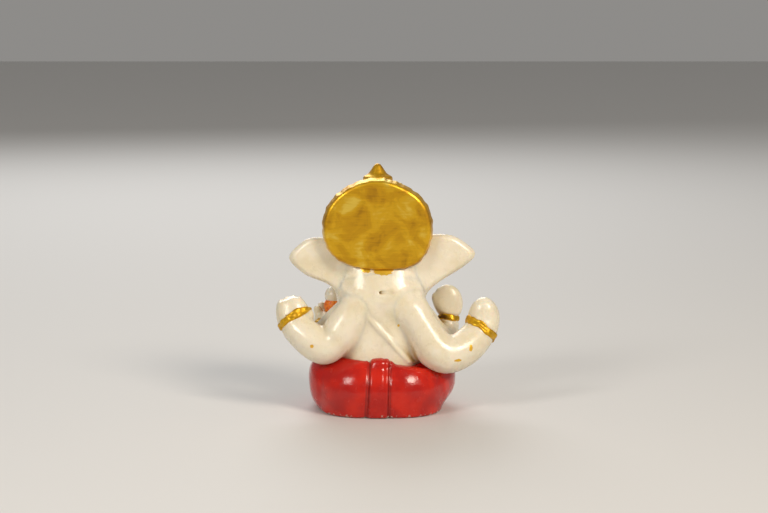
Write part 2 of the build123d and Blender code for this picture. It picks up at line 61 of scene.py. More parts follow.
# ---------------------------------------------------------------- blocks of distance samples
class Block:
    """Distance samples on a lattice with GRAIN between points, from the lattice point `low` on."""

    def __init__(self, low, values):
        self.low = np.array(low, dtype=int)
        self.values = values

    @property
    def high(self):
        return self.low + np.array(self.values.shape)

    def axes(self):
        """The x, y and z of the samples in millimetres, shaped to combine with the values."""
        out = []
        for i, n in enumerate(self.values.shape):
            line = ((self.low[i] + np.arange(n)) * GRAIN).astype(np.float32)
            out.append(line.reshape([n if j == i else 1 for j in range(3)]))
        return out

    def copy(self):
        return Block(self.low, self.values.copy())

    def spread(self, low, high):
        """The same block widened to reach from low to high, in lattice points."""
        low = np.minimum(low, self.low)
        high = np.maximum(high, self.high)
        values = np.full(high - low, FAR, dtype=np.float32)
        a = self.low - low
        b = a + np.array(self.values.shape)
        values[a[0] : b[0], a[1] : b[1], a[2] : b[2]] = self.values
        return Block(low, values)

    def part(self, other):
        """This block's samples over the other block, as a view."""
        a = other.low - self.low
        b = a + np.array(other.values.shape)
        return self.values[a[0] : b[0], a[1] : b[1], a[2] : b[2]]

    def at(self, points):
        """Distances at points in millimetres, read between the samples."""
        where = points / GRAIN - self.low
        top = np.array(self.values.shape) - 1.001
        where = np.clip(where, 0, top)
        base = where.astype(int)
        f = where - base
        total = np.zeros(len(points))
        for dx in (0, 1):
            for dy in (0, 1):
                for dz in (0, 1):
                    weight = (
                        np.abs(1 - dx - f[:, 0]) * np.abs(1 - dy - f[:, 1]) * np.abs(1 - dz - f[:, 2])
                    )
                    total += weight * self.values[base[:, 0] + dx, base[:, 1] + dy, base[:, 2] + dz]
        return total


def empty(low, high):
    """A block with nothing in it that covers low to high, in millimetres."""
    low = np.floor(np.array(low) / GRAIN).astype(int)
    high = np.ceil(np.array(high) / GRAIN).astype(int) + 1
    return Block(low, np.full(high - low, FAR, dtype=np.float32))


def soft_min(a, b, k):
    """The union of two distances, with a fillet about k mm wide where they meet."""
    if k <= 0:
        return np.minimum(a, b)
    overlap = np.maximum(k - np.abs(a - b), 0)
    return np.minimum(a, b) - overlap * overlap / (4 * k)


def soft_max(a, b, k):
    """What two distances share, with its edge rounded the same way."""
    return -soft_min(-a, -b, k)


def union(first, other, k=0.0):
    """Both blocks blended into one."""
    wide = first.spread(other.low, other.high)
    view = wide.part(other)
    view[...] = soft_min(view, other.values, k)
    return wide


def carve(first, other, k=0.3):
    """The first block with the other cut out of it."""
    low = np.maximum(first.low, other.low)
    high = np.minimum(first.high, other.high)
    if np.any(high <= low):
        return first
    cut = Block(low, np.empty(high - low, dtype=np.float32))
    tool = other.part(cut)
    view = first.part(cut)
    view[...] = soft_max(view, -tool, k)
    return first


def ball(centre, radii, turn=0.0, axis=1):
    """An ellipsoid, turned in degrees about X (0), Y (1) or Z (2)."""
    centre = np.array(centre, dtype=np.float32)
    radii = np.array(radii, dtype=np.float32)
    reach = max(radii) + 2.5
    out = empty(centre - reach, centre + reach)
    p = [line - c for line, c in zip(out.axes(), centre)]
    if turn:
        c, s = math.cos(math.radians(turn)), math.sin(math.radians(turn))
        i, j = ((1, 2), (2, 0), (0, 1))[axis]
        p[i], p[j] = p[i] * c + p[j] * s, p[j] * c - p[i] * s
    near = np.sqrt(sum((v / r) ** 2 for v, r in zip(p, radii)))
    slope = np.sqrt(sum((v / (r * r)) ** 2 for v, r in zip(p, radii)))
    out.values = (near * (near - 1) / np.maximum(slope, 1e-4)).astype(np.float32)
    return out


def smooth_route(stations, steps):
    """Points on a smooth curve through stations of any width, steps to each run."""
    s = np.array(stations, dtype=float)
    s = np.vstack([2 * s[0] - s[1], s, 2 * s[-1] - s[-2]])
    out = []
    for i in range(1, len(s) - 2):
        for t in np.arange(steps) / steps:
            a, b, c, d = s[i - 1], s[i], s[i + 1], s[i + 2]
            out.append(
                0.5 * (2 * b + (c - a) * t + (2 * a - 5 * b + 4 * c - d) * t**2
                       + (3 * b - a - 3 * c + d) * t**3)
            )
    out.append(s[-2])
    return np.array(out)


def tube(stations, steps=4, rings=0.0, pitch=1.5):
    """A round limb through stations of (x, y, z, radius); rings is how deep its skin is creased."""
    route = smooth_route(stations, steps)
    reach = route[:, 3].max() + 2.5
    out = empty(route[:, :3].min(axis=0) - reach, route[:, :3].max(axis=0) + reach)
    travelled = 0.0
    for a, b in zip(route[:-1], route[1:]):
        run = b[:3] - a[:3]
        length = float(np.linalg.norm(run))
        if length < 1e-6:
            continue
        pad = max(a[3], b[3]) + 2.5
        local = empty(np.minimum(a[:3], b[:3]) - pad, np.maximum(a[:3], b[:3]) + pad)
        x, y, z = local.axes()
        px, py, pz = x - a[0], y - a[1], z - a[2]
        t = np.clip((px * run[0] + py * run[1] + pz * run[2]) / length**2, 0, 1)
        gap = np.sqrt((px - t * run[0]) ** 2 + (py - t * run[1]) ** 2 + (pz - t * run[2]) ** 2)
        d = gap - (a[3] + t * (b[3] - a[3]))
        if rings:
            along = travelled + t * length
            d = d + rings * np.maximum(np.cos(along * 2 * math.pi / pitch), 0) ** 4
        wide = out.spread(local.low, local.high)
        view = wide.part(local)
        view[...] = np.minimum(view, d.astype(np.float32))
        out = wide
        travelled += length
    return out


def node_mesh(name):
    """Points in millimetres and triangles of a CAD node."""
    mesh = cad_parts[name].data
    points = np.empty(len(mesh.vertices) * 3)
    mesh.vertices.foreach_get("co", points)
    mesh.calc_loop_triangles()
    corners = np.empty(len(mesh.loop_triangles) * 3, dtype=np.int32)
    mesh.loop_triangles.foreach_get("vertices", corners)
    matrix = np.array(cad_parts[name].matrix_world)
    points = points.reshape(-1, 3) @ matrix[:3, :3].T + matrix[:3, 3]
    return points / MM, corners.reshape(-1, 3)


def from_node(name):
    """A CAD node as a block of distances."""
    points, triangles = node_mesh(name)
    out = empty(points.min(axis=0) - REACH, points.max(axis=0) + REACH)
    shifted = (points / GRAIN - out.low).astype(np.float32)
    grid = openvdb.FloatGrid.createLevelSetFromPolygons(
        shifted,
        triangles=triangles.astype(np.uint32),
        transform=openvdb.createLinearTransform(1.0),
        halfWidth=REACH / GRAIN,
    )
    grid.copyToArray(out.values, ijk=(0, 0, 0))
    out.values *= GRAIN
    return out


def relax(block, rounds=1):
    """Evens the surface out, as a wet brush does on clay."""
    for _ in range(round(rounds * (0.3 / GRAIN) ** 2)):
        for axis in range(3):
            v = np.moveaxis(block.values, axis, 0)
            v[1:-1] = 0.25 * v[:-2] + 0.5 * v[1:-1] + 0.25 * v[2:]
    return block


# ---------------------------------------------------------------- places, from the CAD nodes
def corner(name):
    """The low and high corners of a node's box, in millimetres."""
    low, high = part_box(name)
    return np.array(low) / MM, np.array(high) / MM


def spot(name, u, v, w):
    """A point in a node's box in millimetres, from 0 to 1 along X, Y and Z."""
    low, high = corner(name)
    return low + (high - low) * np.array((u, v, w))


# ---------------------------------------------------------------- from blocks to pieces
def skin(block):
    """Points in millimetres and four-sided faces of a block's surface."""
    grid = openvdb.FloatGrid(3.0)
    clipped = np.clip(block.values / GRAIN, -3, 3).astype(np.float32)
    grid.copyFromArray(clipped)
    points, quads = grid.convertToQuads(0.0)
    return (points + block.low) * GRAIN, quads.astype(np.int64)


def slope(block, points):
    """Outward directions of the distance field at points."""
    step = GRAIN * 0.8
    out = np.empty_like(points, dtype=float)
    for axis in range(3):
        shift = np.zeros(3)
        shift[axis] = step
        out[:, axis] = block.at(points + shift) - block.at(points - shift)
    return out / np.maximum(np.linalg.norm(out, axis=1, keepdims=True), 1e-9)


def neighbours(quads):
    """Pairs of faces that share an edge."""
    edges = np.sort(np.stack([quads, np.roll(quads, -1, axis=1)], axis=2).reshape(-1, 2), axis=1)
    faces = np.repeat(np.arange(len(quads)), 4)
    order = np.lexsort((edges[:, 1], edges[:, 0]))
    edges, faces = edges[order], faces[order]
    same = np.all(edges[1:] == edges[:-1], axis=1)
    return faces[:-1][same], faces[1:][same]


def tidy_owners(quads, owner, least=400):
    """Gives scraps of a part that lie apart from it to the part around them."""
    a, b = neighbours(quads)
    for _ in range(4):
        inside = owner[a] == owner[b]
        group = np.arange(len(quads))
        while True:
            low = np.minimum(group[a[inside]], group[b[inside]])
            new = group.copy()
            np.minimum.at(new, a[inside], low)
            np.minimum.at(new, b[inside], low)
            new = new[new]
            if np.array_equal(new, group):
                break
            group = new
        sizes = np.bincount(group, minlength=len(quads))
        biggest = {}
        for part in np.unique(owner):
            own = np.where(owner == part)[0]
            biggest[part] = group[own[np.argmax(sizes[group[own]])]]
        keep = np.array([biggest[p] for p in owner])
        scrap = (group != keep) & (sizes[group] < least)
        if not scrap.any():
            break
        for _ in range(60):
            take = scrap[a] & ~scrap[b]
            back = scrap[b] & ~scrap[a]
            if not (take.any() or back.any()):
                break
            owner[a[take]] = owner[b[take]]
            scrap[a[take]] = False
            owner[b[back]] = owner[a[back]]
            scrap[b[back]] = False
    return owner


def open_rings(quads):
    """Rings of open edges of a sheet of faces, each as a list of edges (from, to)."""
    edges = np.stack([quads, np.roll(quads, -1, axis=1)], axis=2).reshape(-1, 2)
    there = set(map(tuple, edges.tolist()))
    rim = [(u, v) for u, v in edges.tolist() if (v, u) not in there]
    parent = {}

    def root(n):
        while parent.setdefault(n, n) != n:
            parent[n] = parent[parent[n]]
            n = parent[n]
        return n

    for u, v in rim:
        parent[root(u)] = root(v)
    rings = {}
    for u, v in rim:
        rings.setdefault(root(u), []).append((u, v))
    return list(rings.values())


def make_piece(name, points, quads, normals, tints, material, core=None):
    """A closed mesh object in metres from a sheet of faces.

    Each open ring is closed towards a core point deep in the piece, or towards its own middle.
    """
    used, flat = np.unique(quads, return_inverse=True)
    faces = flat.reshape(-1, 4)
    points, normals = points[used], normals[used]
    tints = {key: value[used] for key, value in tints.items()}
    extra_points, triangles = [], []
    for ring in open_rings(faces):
        ends = np.array([u for u, v in ring])
        middle = points[ends].mean(axis=0) if core is None else np.array(core)
        apex = len(points) + len(extra_points)
        extra_points.append(middle)
        triangles += [(v, u, apex) for u, v in ring]
    if extra_points:
        points = np.vstack([points, extra_points])
        normals = np.vstack([normals, np.tile((0, 0, 1), (len(extra_points), 1))])
        tints = {key: np.append(value, np.zeros(len(extra_points))) for key, value in tints.items()}
    mesh = bpy.data.meshes.new(name)
    mesh.from_pydata((points * MM).tolist(), [], faces.tolist() + triangles)
    mesh.polygons.foreach_set("use_smooth", np.ones(len(mesh.polygons), dtype=bool))
    for key, value in tints.items():
        layer = mesh.attributes.new(key, "FLOAT", "POINT")
        layer.data.foreach_set("value", value.astype(np.float32))
    mesh.update()
    mesh.normals_split_custom_set_from_vertices(normals.tolist())
    piece = bpy.data.objects.new(name, mesh)
    bpy.context.collection.objects.link(piece)
    mesh.materials.append(material)
    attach(piece, "root")
    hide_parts(name)


def crease_shade_of(block, points, normals):
    """From 0 on open skin to 1 deep in a fold: the mask for the shade painted into creases."""
    open_way = block.at(points + normals * 1.2) / 1.2
    wide_way = block.at(points + normals * 2.4) / 2.4
    return np.clip(1 - 0.5 * (open_way + wide_way), 0, 1)


def sculpt(shapes, material, paint=None, cores=None):
    """Blends named shapes, (name, block, blend width), and makes one piece for each.

    Paint gives further vertex attributes, and cores are the points that rings close to. Gives
    back the blended whole.
    """
    whole = shapes[0][1].copy()
    owner = Block(whole.low, np.zeros(whole.values.shape, dtype=np.uint8))
    best = whole.copy()
    for index, (_, block, k) in enumerate(shapes[1:], start=1):
        whole = whole.spread(block.low, block.high)
        best = best.spread(block.low, block.high)
        wider = np.zeros(best.values.shape, dtype=np.uint8)
        Block(best.low, wider).part(owner)[...] = owner.values
        owner = Block(best.low, wider)
        view, near, who = whole.part(block), best.part(block), owner.part(block)
        view[...] = soft_min(view, block.values, k)
        closer = block.values < near
        near[closer] = block.values[closer]
        who[closer] = index
    relax(whole)
    # nothing reaches below the flat base
    whole.values = soft_max(whole.values, -whole.axes()[2] + 0 * whole.values, 0.4)
    points, quads = skin(whole)
    normals = slope(whole, points)
    middle = points[quads].mean(axis=1)
    last = np.array(owner.values.shape) - 1
    cell = np.clip(np.rint(middle / GRAIN - owner.low).astype(int), 0, last)
    owners = owner.values[cell[:, 0], cell[:, 1], cell[:, 2]].astype(int)
    owners = tidy_owners(quads, owners)
    # how deep each point lies in a fold, the mask that the materials use to paint shade into creases
    tints = {"crease_shade": crease_shade_of(whole, points, normals)}
    if paint:
        tints.update(paint(points, normals))
    for index, (name, _, _) in enumerate(shapes):
        core = (cores or {}).get(name)
        make_piece(name, points, quads[owners == index], normals, tints, material, core)
    return whole


def ring_frame(name):
    """The middle of a CAD ring in millimetres and the direction of its axis."""
    points = node_mesh(name)[0]
    middle = (points.max(axis=0) + points.min(axis=0)) / 2
    ways = np.linalg.eigh(np.cov((points - middle).T))[1]
    return middle, ways[:, 0]


def painted_band(body, middle, axis, radius, half_width, proud, wander=0.18):
    """A raised band of paint that hugs a body where a plane crosses it, with uneven edges."""
    middle, axis = np.array(middle), np.array(axis)
    out = empty(middle - radius, middle + radius)
    low, high = np.maximum(out.low, body.low), np.minimum(out.high, body.high)
    out = Block(low, np.empty(high - low, dtype=np.float32))
    x, y, z = (line - c for line, c in zip(out.axes(), middle))
    uneven = wander * (np.sin(1.3 * x + 0.9 * z) + 0.6 * np.sin(2.9 * y - 2.1 * x) + 0.4 * np.sin(4.7 * z))
    along = x * axis[0] + y * axis[1] + z * axis[2] + uneven
    apart = np.sqrt(x * x + y * y + z * z) - radius + 0.3
    end = np.clip(-apart / 2.0, 0, 1) ** 0.5
    lumps = 0.06 * np.sin(2.2 * x + 1.7 * y) + 0.05 * np.sin(3.1 * z - 1.9 * x)
    band = soft_max(np.abs(body.part(out)) - proud - lumps, np.abs(along) - half_width * end, 0.35)
    out.values = np.maximum(band, apart).astype(np.float32)
    return out


# ---------------------------------------------------------------- materials
PER_MM = 1000.0  # patches or cells to the millimetre, as shaders count them to the metre
NOISE = "ShaderNodeTexNoise"
CELLS = "ShaderNodeTexVoronoi"
RAMP = "ShaderNodeValToRGB"
MIX = "ShaderNodeMix"
MATH = "ShaderNodeMath"
BUMP = "ShaderNodeBump"
FIELD = "ShaderNodeAttribute"
SHADER = "ShaderNodeBsdfPrincipled"
SURFACE = "ShaderNodeOutputMaterial"
COLOURS = {"data_type": "RGBA", "clamp_result": True}  # a mix of two colours: sockets 0, 6 and 7


def colour(text):
    """A colour as seen on screen, "e8e0cc", as the linear values that shaders take."""
    out = []
    for i in (0, 2, 4):
        v = int(text[i : i + 2], 16) / 255
        out.append(v / 12.92 if v <= 0.04045 else ((v + 0.055) / 1.055) ** 2.4)
    return (*out, 1.0)


def put(tree, kind, inputs=None, out=0, stops=(), ease=True, **settings):
    """Adds a node with its settings and links, and gives back one of its outputs.

    An input is a value, or another node's output to link. Stops are a colour ramp's: each is a
    place and a tone, which is a grey value or a colour. Ease rounds the ramp off between them.
    """
    node = tree.nodes.new(kind)
    for key, value in settings.items():
        setattr(node, key, value)
    for socket, value in (inputs or {}).items():
        if isinstance(value, bpy.types.NodeSocket):
            tree.links.new(value, node.inputs[socket])
        else:
            node.inputs[socket].default_value = value
    if stops:
        node.color_ramp.interpolation = "EASE" if ease else "LINEAR"
        elements = node.color_ramp.elements
        while len(elements) < len(stops):
            elements.new(0.5)
        for element, (place, tone) in zip(elements, stops):
            element.position = place
            element.color = colour(tone) if isinstance(tone, str) else (tone, tone, tone, 1)
    return node.outputs[out] if node.outputs else node


def material(name, screen):
    """A new material with an empty tree: the material, the tree and its object coordinates."""
    made = bpy.data.materials.new(name)
    made.use_nodes = True
    made.diffuse_color = colour(screen)
    tree = made.node_tree
    tree.nodes.clear()
    return made, tree, put(tree, "ShaderNodeTexCoord", out="Object")


def cast_resin():
    """Marble-filled polyester casting resin, bare and polished: waxy ivory, with warm brown shade painted
    into its creases.

    Light passes a little way in, so edges glow and shadows stay warm.
    """
    made, tree, place = material("cast_resin", "e6dfcc")
    cloud = put(tree, NOISE, {"Vector": place, "Scale": 0.16 * PER_MM, "Detail": 4.0, "Roughness": 0.6})
    cloud = put(tree, RAMP, {"Fac": cloud}, stops=((0.35, 0.0), (0.7, 1.0)))
    base = put(tree, MIX, {0: cloud, 6: colour("eee5d0"), 7: colour("e3d7b9")}, 2, **COLOURS)
    # painted shade: the ivory turns warm brown deep in the creases, where shade falls
    painted_crease_shade = put(tree, FIELD, out="Fac", attribute_name="crease_shade")
    painted_crease_shade = put(tree, RAMP, {"Fac": painted_crease_shade}, stops=((0.12, 0.0), (0.85, 1.0)))
    base = put(tree, MIX, {0: painted_crease_shade, 6: base, 7: colour("b2935c")}, 2, **COLOURS)
    # pinholes and specks of filler, 0.2 to 0.4 mm across, in one cell out of six; their dark brown is
    # partly the filler's own colour and partly painted shade inside the pinholes
    cells = put(tree, CELLS, {"Vector": place, "Scale": 0.38 * PER_MM})
    rare = put(tree, "ShaderNodeSeparateColor", {"Color": cells.node.outputs["Color"]})
    rare = put(tree, MATH, {0: rare, 1: 0.82}, operation="GREATER_THAN")
    dot = put(tree, RAMP, {"Fac": cells}, stops=((0.04, 1.0), (0.075, 0.0)), ease=False)
    dot = put(tree, MATH, {0: dot, 1: rare}, operation="MULTIPLY")
    faint = put(tree, MATH, {0: dot, 1: 0.7}, operation="MULTIPLY")
    base = put(tree, MIX, {0: faint, 6: base, 7: colour("6b5636")}, 2, **COLOURS)
    # gold paint that slipped from the crown and off the brush
    edge = put(tree, NOISE, {"Vector": place, "Scale": 1.6 * PER_MM, "Detail": 4.0, "Roughness": 0.6})
    gilt = put(tree, FIELD, out="Fac", attribute_name="gilt")
    gilt = put(tree, MATH, {0: edge, 1: 0.7, 2: gilt}, operation="MULTIPLY_ADD")
    gilt = put(tree, RAMP, {"Fac": gilt}, stops=((0.80, 0.0), (0.86, 1.0)), ease=False)
    base = put(tree, MIX, {0: gilt, 6: base, 7: colour("e2b122")}, 2, **COLOURS)
    metal = put(tree, MATH, {0: gilt, 1: 0.35}, operation="MULTIPLY")
    wear = put(tree, NOISE, {"Vector": place, "Scale": 0.45 * PER_MM, "Detail": 3.0, "Roughness": 0.55})
    gloss = put(tree, RAMP, {"Fac": wear}, stops=((0.3, 0.24), (0.75, 0.4)))
    swell = put(tree, NOISE, {"Vector": place, "Scale": 0.5 * PER_MM, "Detail": 2.0, "Roughness": 0.55})
    swell = put(tree, BUMP, {"Height": swell, "Distance": 0.12 * MM})
    grit = put(tree, NOISE, {"Vector": place, "Scale": 3.0 * PER_MM, "Detail": 3.0, "Roughness": 0.55})
    grit = put(tree, MATH, {0: dot, 1: -1.2, 2: grit}, operation="MULTIPLY_ADD")
    grit = put(tree, BUMP, {"Height": grit, "Distance": 0.025 * MM, "Normal": swell})
    finish = {
        "Base Color": base,
        "Metallic": metal,
        "Roughness": gloss,
        "Normal": grit,
        "IOR": 1.55,
        "Subsurface Weight": 0.35,
        "Subsurface Radius": (1.0, 0.72, 0.42),
        "Subsurface Scale": 0.7 * MM,
        "Coat Weight": 0.25,
        "Coat Roughness": 0.12,
    }
    put(tree, SURFACE, {"Surface": put(tree, SHADER, finish)})
    return made


def gold_paint(name="gold_paint", along=(1.0, 1.0, 0.55), fine=0.4):
    """Bronze-powder gold paint laid on with a small brush: streaks about 0.5 mm wide.

    Thin paint dries darker and rougher than the thick strokes; along stretches the streaks, and
    fine is their share against the broad patches.
    """
    made, tree, place = material(name, "c9960f")
    turned = put(tree, "ShaderNodeMapping", {"Vector": place, "Rotation": (0, 0.25, 0), "Scale": along})
    marks = {"Vector": turned, "Scale": 2.0 * PER_MM, "Detail": 3.0, "Roughness": 0.5, "Distortion": 0.6}
    streak = put(tree, NOISE, marks)
    marks = {"Vector": place, "Scale": 0.22 * PER_MM, "Detail": 3.0, "Roughness": 0.5, "Distortion": 0.8}
    patch = put(tree, MATH, {0: put(tree, NOISE, marks), 1: 1 - fine}, operation="MULTIPLY")
    both = put(tree, MATH, {0: streak, 1: fine, 2: patch}, operation="MULTIPLY_ADD")
    tones = ((0.32, "ab7a09"), (0.45, "cd9a10"), (0.55, "e1af1b"), (0.68, "f1cd50"))
    base = put(tree, RAMP, {"Fac": both}, stops=tones)
    # painted shade: the gold turns dark brown deep in the creases, where shade falls
    crease_shade = put(tree, FIELD, out="Fac", attribute_name="crease_shade")
    crease_shade = put(tree, RAMP, {"Fac": crease_shade}, stops=((0.15, 0.0), (0.7, 1.0)))
    base = put(tree, MIX, {0: crease_shade, 6: base, 7: colour("5e3d05")}, 2, **COLOURS)
    rough = put(tree, RAMP, {"Fac": both}, stops=((0.35, 0.5), (0.65, 0.3)))
    strokes = put(tree, BUMP, {"Height": streak, "Distance": 0.05 * MM})
    # burst bubbles, one or two to the square of 4 mm
    cells = put(tree, CELLS, {"Vector": place, "Scale": 0.52 * PER_MM})
    pit = put(tree, RAMP, {"Fac": cells}, stops=((0.0, 1.0), (0.09, 0.0)), ease=False)
    finish = {
        "Base Color": base,
        "Metallic": 0.72,
        "Roughness": rough,
        "Normal": put(tree, BUMP, {"Height": pit, "Distance": 0.05 * MM, "Normal": strokes}),
        "Coat Weight": 0.15,
        "Coat Roughness": 0.25,
    }
    put(tree, SURFACE, {"Surface": put(tree, SHADER, finish)})
    return made


def red_enamel():
    """Red gloss enamel brushed over the casting, chipped to the resin along the base."""
    made, tree, place = material("red_enamel", "b3170f")
    patch = put(tree, NOISE, {"Vector": place, "Scale": 0.18 * PER_MM, "Detail": 3.0, "Roughness": 0.5})
    patch = put(tree, RAMP, {"Fac": patch}, stops=((0.35, 0.0), (0.7, 1.0)))
    base = put(tree, MIX, {0: patch, 6: colour("ae1206"), 7: colour("cf2209")}, 2, **COLOURS)
    # painted shade: the red turns dark deep in the creases, where shade falls
    crease_shade = put(tree, FIELD, out="Fac", attribute_name="crease_shade")
    crease_shade = put(tree, RAMP, {"Fac": crease_shade}, stops=((0.1, 0.0), (0.7, 1.0)))
    base = put(tree, MIX, {0: crease_shade, 6: base, 7: colour("5a0806")}, 2, **COLOURS)
    # chips 0.3 to 0.7 mm across, most of them in the lowest 1.5 mm
    height = put(tree, "ShaderNodeSeparateXYZ", {"Vector": place}, "Z")
    fall = {"Value": height, "From Min": 0.0, "From Max": 1.5 * MM, "To Min": 0.22, "To Max": 0.0}
    low = put(tree, "ShaderNodeMapRange", fall)
    flake = put(tree, NOISE, {"Vector": place, "Scale": 1.5 * PER_MM, "Detail": 5.0, "Roughness": 0.7})
    flake = put(tree, MATH, {0: flake, 1: low}, operation="ADD")
    chip = put(tree, RAMP, {"Fac": flake}, stops=((0.735, 0.0), (0.755, 1.0)), ease=False)
    base = put(tree, MIX, {0: chip, 6: base, 7: colour("e2d8c6")}, 2, **COLOURS)
    wear = put(tree, NOISE, {"Vector": place, "Scale": 0.6 * PER_MM, "Detail": 3.0, "Roughness": 0.55})
    rough = put(tree, RAMP, {"Fac": wear}, stops=((0.3, 0.14), (0.75, 0.3)))
    swell = put(tree, NOISE, {"Vector": place, "Scale": 0.7 * PER_MM, "Detail": 3.0, "Roughness": 0.55})
    swell = put(tree, BUMP, {"Height": swell, "Distance": 0.1 * MM})
    sunk = put(tree, MATH, {0: chip, 1: -1.0}, operation="MULTIPLY")
    finish = {
        "Base Color": base,
        "Roughness": rough,
        "Normal": put(tree, BUMP, {"Height": sunk, "Distance": 0.08 * MM, "Normal": swell}),
        "IOR": 1.46,
        "Coat Weight": 0.15,
        "Coat Roughness": 0.08,
    }
    put(tree, SURFACE, {"Surface": put(tree, SHADER, finish)})
    return made


def orange_paint():
    """Satin orange paint over a sweet's crumbly ball; the crumbs are 0.5 mm across."""
    made, tree, place = material("orange_paint", "e0671c")
    crumb = put(tree, CELLS, {"Vector": place, "Scale": 1.9 * PER_MM})
    # the crumbs are painted lighter in their middles and darker in the gaps between them: painted shade in
    # the hollows that the bump sinks
    base = put(tree, RAMP, {"Fac": crumb}, stops=((0.0, "f79a2c"), (0.5, "f27c10"), (0.9, "d65c0a")))
    sunk = put(tree, MATH, {0: crumb, 1: -1.0}, operation="MULTIPLY")
    bumps = put(tree, BUMP, {"Height": sunk, "Distance": 0.1 * MM})
    finish = {"Base Color": base, "Roughness": 0.38, "Normal": bumps}
    put(tree, SURFACE, {"Surface": put(tree, SHADER, finish)})
    return made


def painted_eye():
    """White paint with a dark brown iris, dotted on by hand."""
    made, tree, place = material("painted_eye", "f0ead8")
    iris = put(tree, FIELD, out="Fac", attribute_name="iris")
    base = put(tree, RAMP, {"Fac": iris}, stops=((0.56, "efe8d6"), (0.62, "1b0f0a")), ease=False)
    swell = put(tree, NOISE, {"Vector": place, "Scale": 2.0 * PER_MM, "Detail": 2.0, "Roughness": 0.55})
    bumps = put(tree, BUMP, {"Height": swell, "Distance": 0.02 * MM})
    finish = {"Base Color": base, "Roughness": 0.22, "Normal": bumps}
    put(tree, SURFACE, {"Surface": put(tree, SHADER, finish)})
    return made


resin = cast_resin()
gold = gold_paint()
disc_gold = gold_paint("gold_paint_disc", (0.12, 1.0, 1.0), 0.2)
red = red_enamel()
orange = orange_paint()
eye_paint = painted_eye()

# ---------------------------------------------------------------- the resin figure
shoulder = spot("torso", 0.5, 0.5, 0.606)  # mid-height of the shoulders
sacrum = spot("torso", 0.5, 0.95, 0.25)

torso = relax(from_node("torso"), 2)
torso = union(torso, ball(shoulder + (0, 1.4, 3.6), (9.0, 6.2, 5.4)), 3.0)
# hollow of the back and the line of the spine
hollow = [
    (*(sacrum + (0.1, 2.4, -1.0)), 2.0),
    (*(sacrum + (0.0, 2.2, 4.0)), 1.6),
    (*(sacrum + (-0.2, 1.2, 8.6)), 0.8),
]
torso = carve(torso, tube(hollow), 2.4)
# a short fold of skin under the nape
fold = [
    (u * 2.4 - 1.2, shoulder[1] + 7.9 - 1.3 * u * u, shoulder[2] + 5.3 - 0.5 * u * u, 0.32)
    for u in (-1, -0.5, 0, 0.5, 1)
]
torso = carve(torso, tube(fold), 0.5)

head_low, head_high = corner("head")
face = np.array([0.0, head_low[1], (head_low[2] + head_high[2]) / 2])
head = relax(from_node("head"), 2)
eyeballs = {}
for side, name in ((-1, "right_eye"), (1, "left_eye")):
    head = union(head, ball(face + (side * 3.2, 3.6, 6.2), (3.4, 3.2, 2.2)), 2.0)  # brow
    head = union(head, ball(face + (side * 5.8, 4.9, -3.8), (3.2, 3.6, 3.2)), 2.6)  # cheek
    low, high = corner(name)
    middle = np.array([side * 4.75, low[1] + 1.05, (low[2] + high[2]) / 2])
    head = union(head, ball(middle, (2.1, 1.85, 1.85)), 0.7)  # lids
    head = carve(head, ball(middle + (0, -1.2, -0.1), (1.62, 2.0, 0.98), side * 10), 0.12)
    eyeballs[name] = ball(middle + (0, 0.1, 0), (1.55, 1.5, 1.5))
head = union(head, ball(face + (0, 3.4, -5.4), (2.6, 3.0, 1.6)), 1.4)  # lower lip
nape = spot("head", 0.5, 0.72, 0.1)
head = union(head, ball(nape, (8.8, 4.2, 5.4)), 3.0)
for side, out, width in ((-1, 3.4, 1.9), (1, 3.8, 1.8)):  # cords of the neck
    cord = [
        (side * out, nape[1] + 1.9, nape[2] + 3.4, width),
        (side * (out + 1.6), nape[1] + 2.2, nape[2] - 2.6, width),
    ]
    head = union(head, tube(cord), 2.8)


def ear(name, side):
    """A broad ear, cupped in front, with a rolled rim."""
    out = relax(from_node(name), 2)
    low, high = corner(name)
    middle = (low + high) / 2
    cup = ball(
        (middle[0] + side * 0.6, low[1] - 0.2, middle[2] + 0.5),
        ((high[0] - low[0]) * 0.36, 1.1, (high[2] - low[2]) * 0.3),
        side * -16,
    )
    return carve(out, cup, 0.8)


def press(block, line, width, depth, where=1.0):
    """Presses a soft groove into a block, deepest where line, a distance, is nothing."""
    block.values = (block.values + depth * np.exp(-((line / width) ** 2)) * where).astype(np.float32)
    return block


def hand(name, fill, radii, fingers=()):
    """A hand with its fingers closed: the grooves between them are pressed in from the palm side."""
    out = union(relax(from_node(name), 1), ball(fill, radii), 0.9)
    if not fingers:
        return out
    low, high = corner(name)
    lean, pitch = fingers
    middle, size = (low + high) / 2, high - low
    limit = ball(middle - (0, 0, size[2] * 0.14), size * (0.56, 0.66, 0.66))
    out.values = soft_max(out.values, limit.spread(out.low, out.high).part(out), 0.9)
    x, y, z = out.axes()
    up = z - (low[2] + size[2] * 0.42)
    palm_side = np.clip((middle[1] - 0.3 - y) / 0.8, 0, 1) * np.clip(up / 0.8, 0, 1)
    for i in (-1, 0, 1):
        press(out, x - middle[0] - lean * up - i * pitch, 0.3, 0.55, palm_side)
    return out


sweet = (corner("laddu")[0] + corner("laddu")[1]) / 2
trunk = tube(
    [
        (0.0, face[1] + 3.4, face[2] - 0.6, 4.4),
        (0.0, face[1] + 0.4, face[2] - 2.8, 4.1),
        (0.2, face[1] - 2.4, face[2] - 6.0, 3.5),
        (1.4, face[1] - 3.9, face[2] - 8.9, 3.0),
        (3.8, face[1] - 4.0, face[2] - 10.4, 2.75),
        (6.8, face[1] - 3.3, face[2] - 10.4, 2.45),
        (sweet[0] - 1.7, sweet[1] - 1.6, sweet[2] + 3.5, 2.3),
        (sweet[0] - 0.1, sweet[1] - 0.2, sweet[2] + 2.4, 2.2),
    ],
    5,
    0.3,
    1.35,
)

rear_left = relax(from_node("rear_left_arm"), 1)
rear_right = relax(from_node("rear_right_arm"), 1)
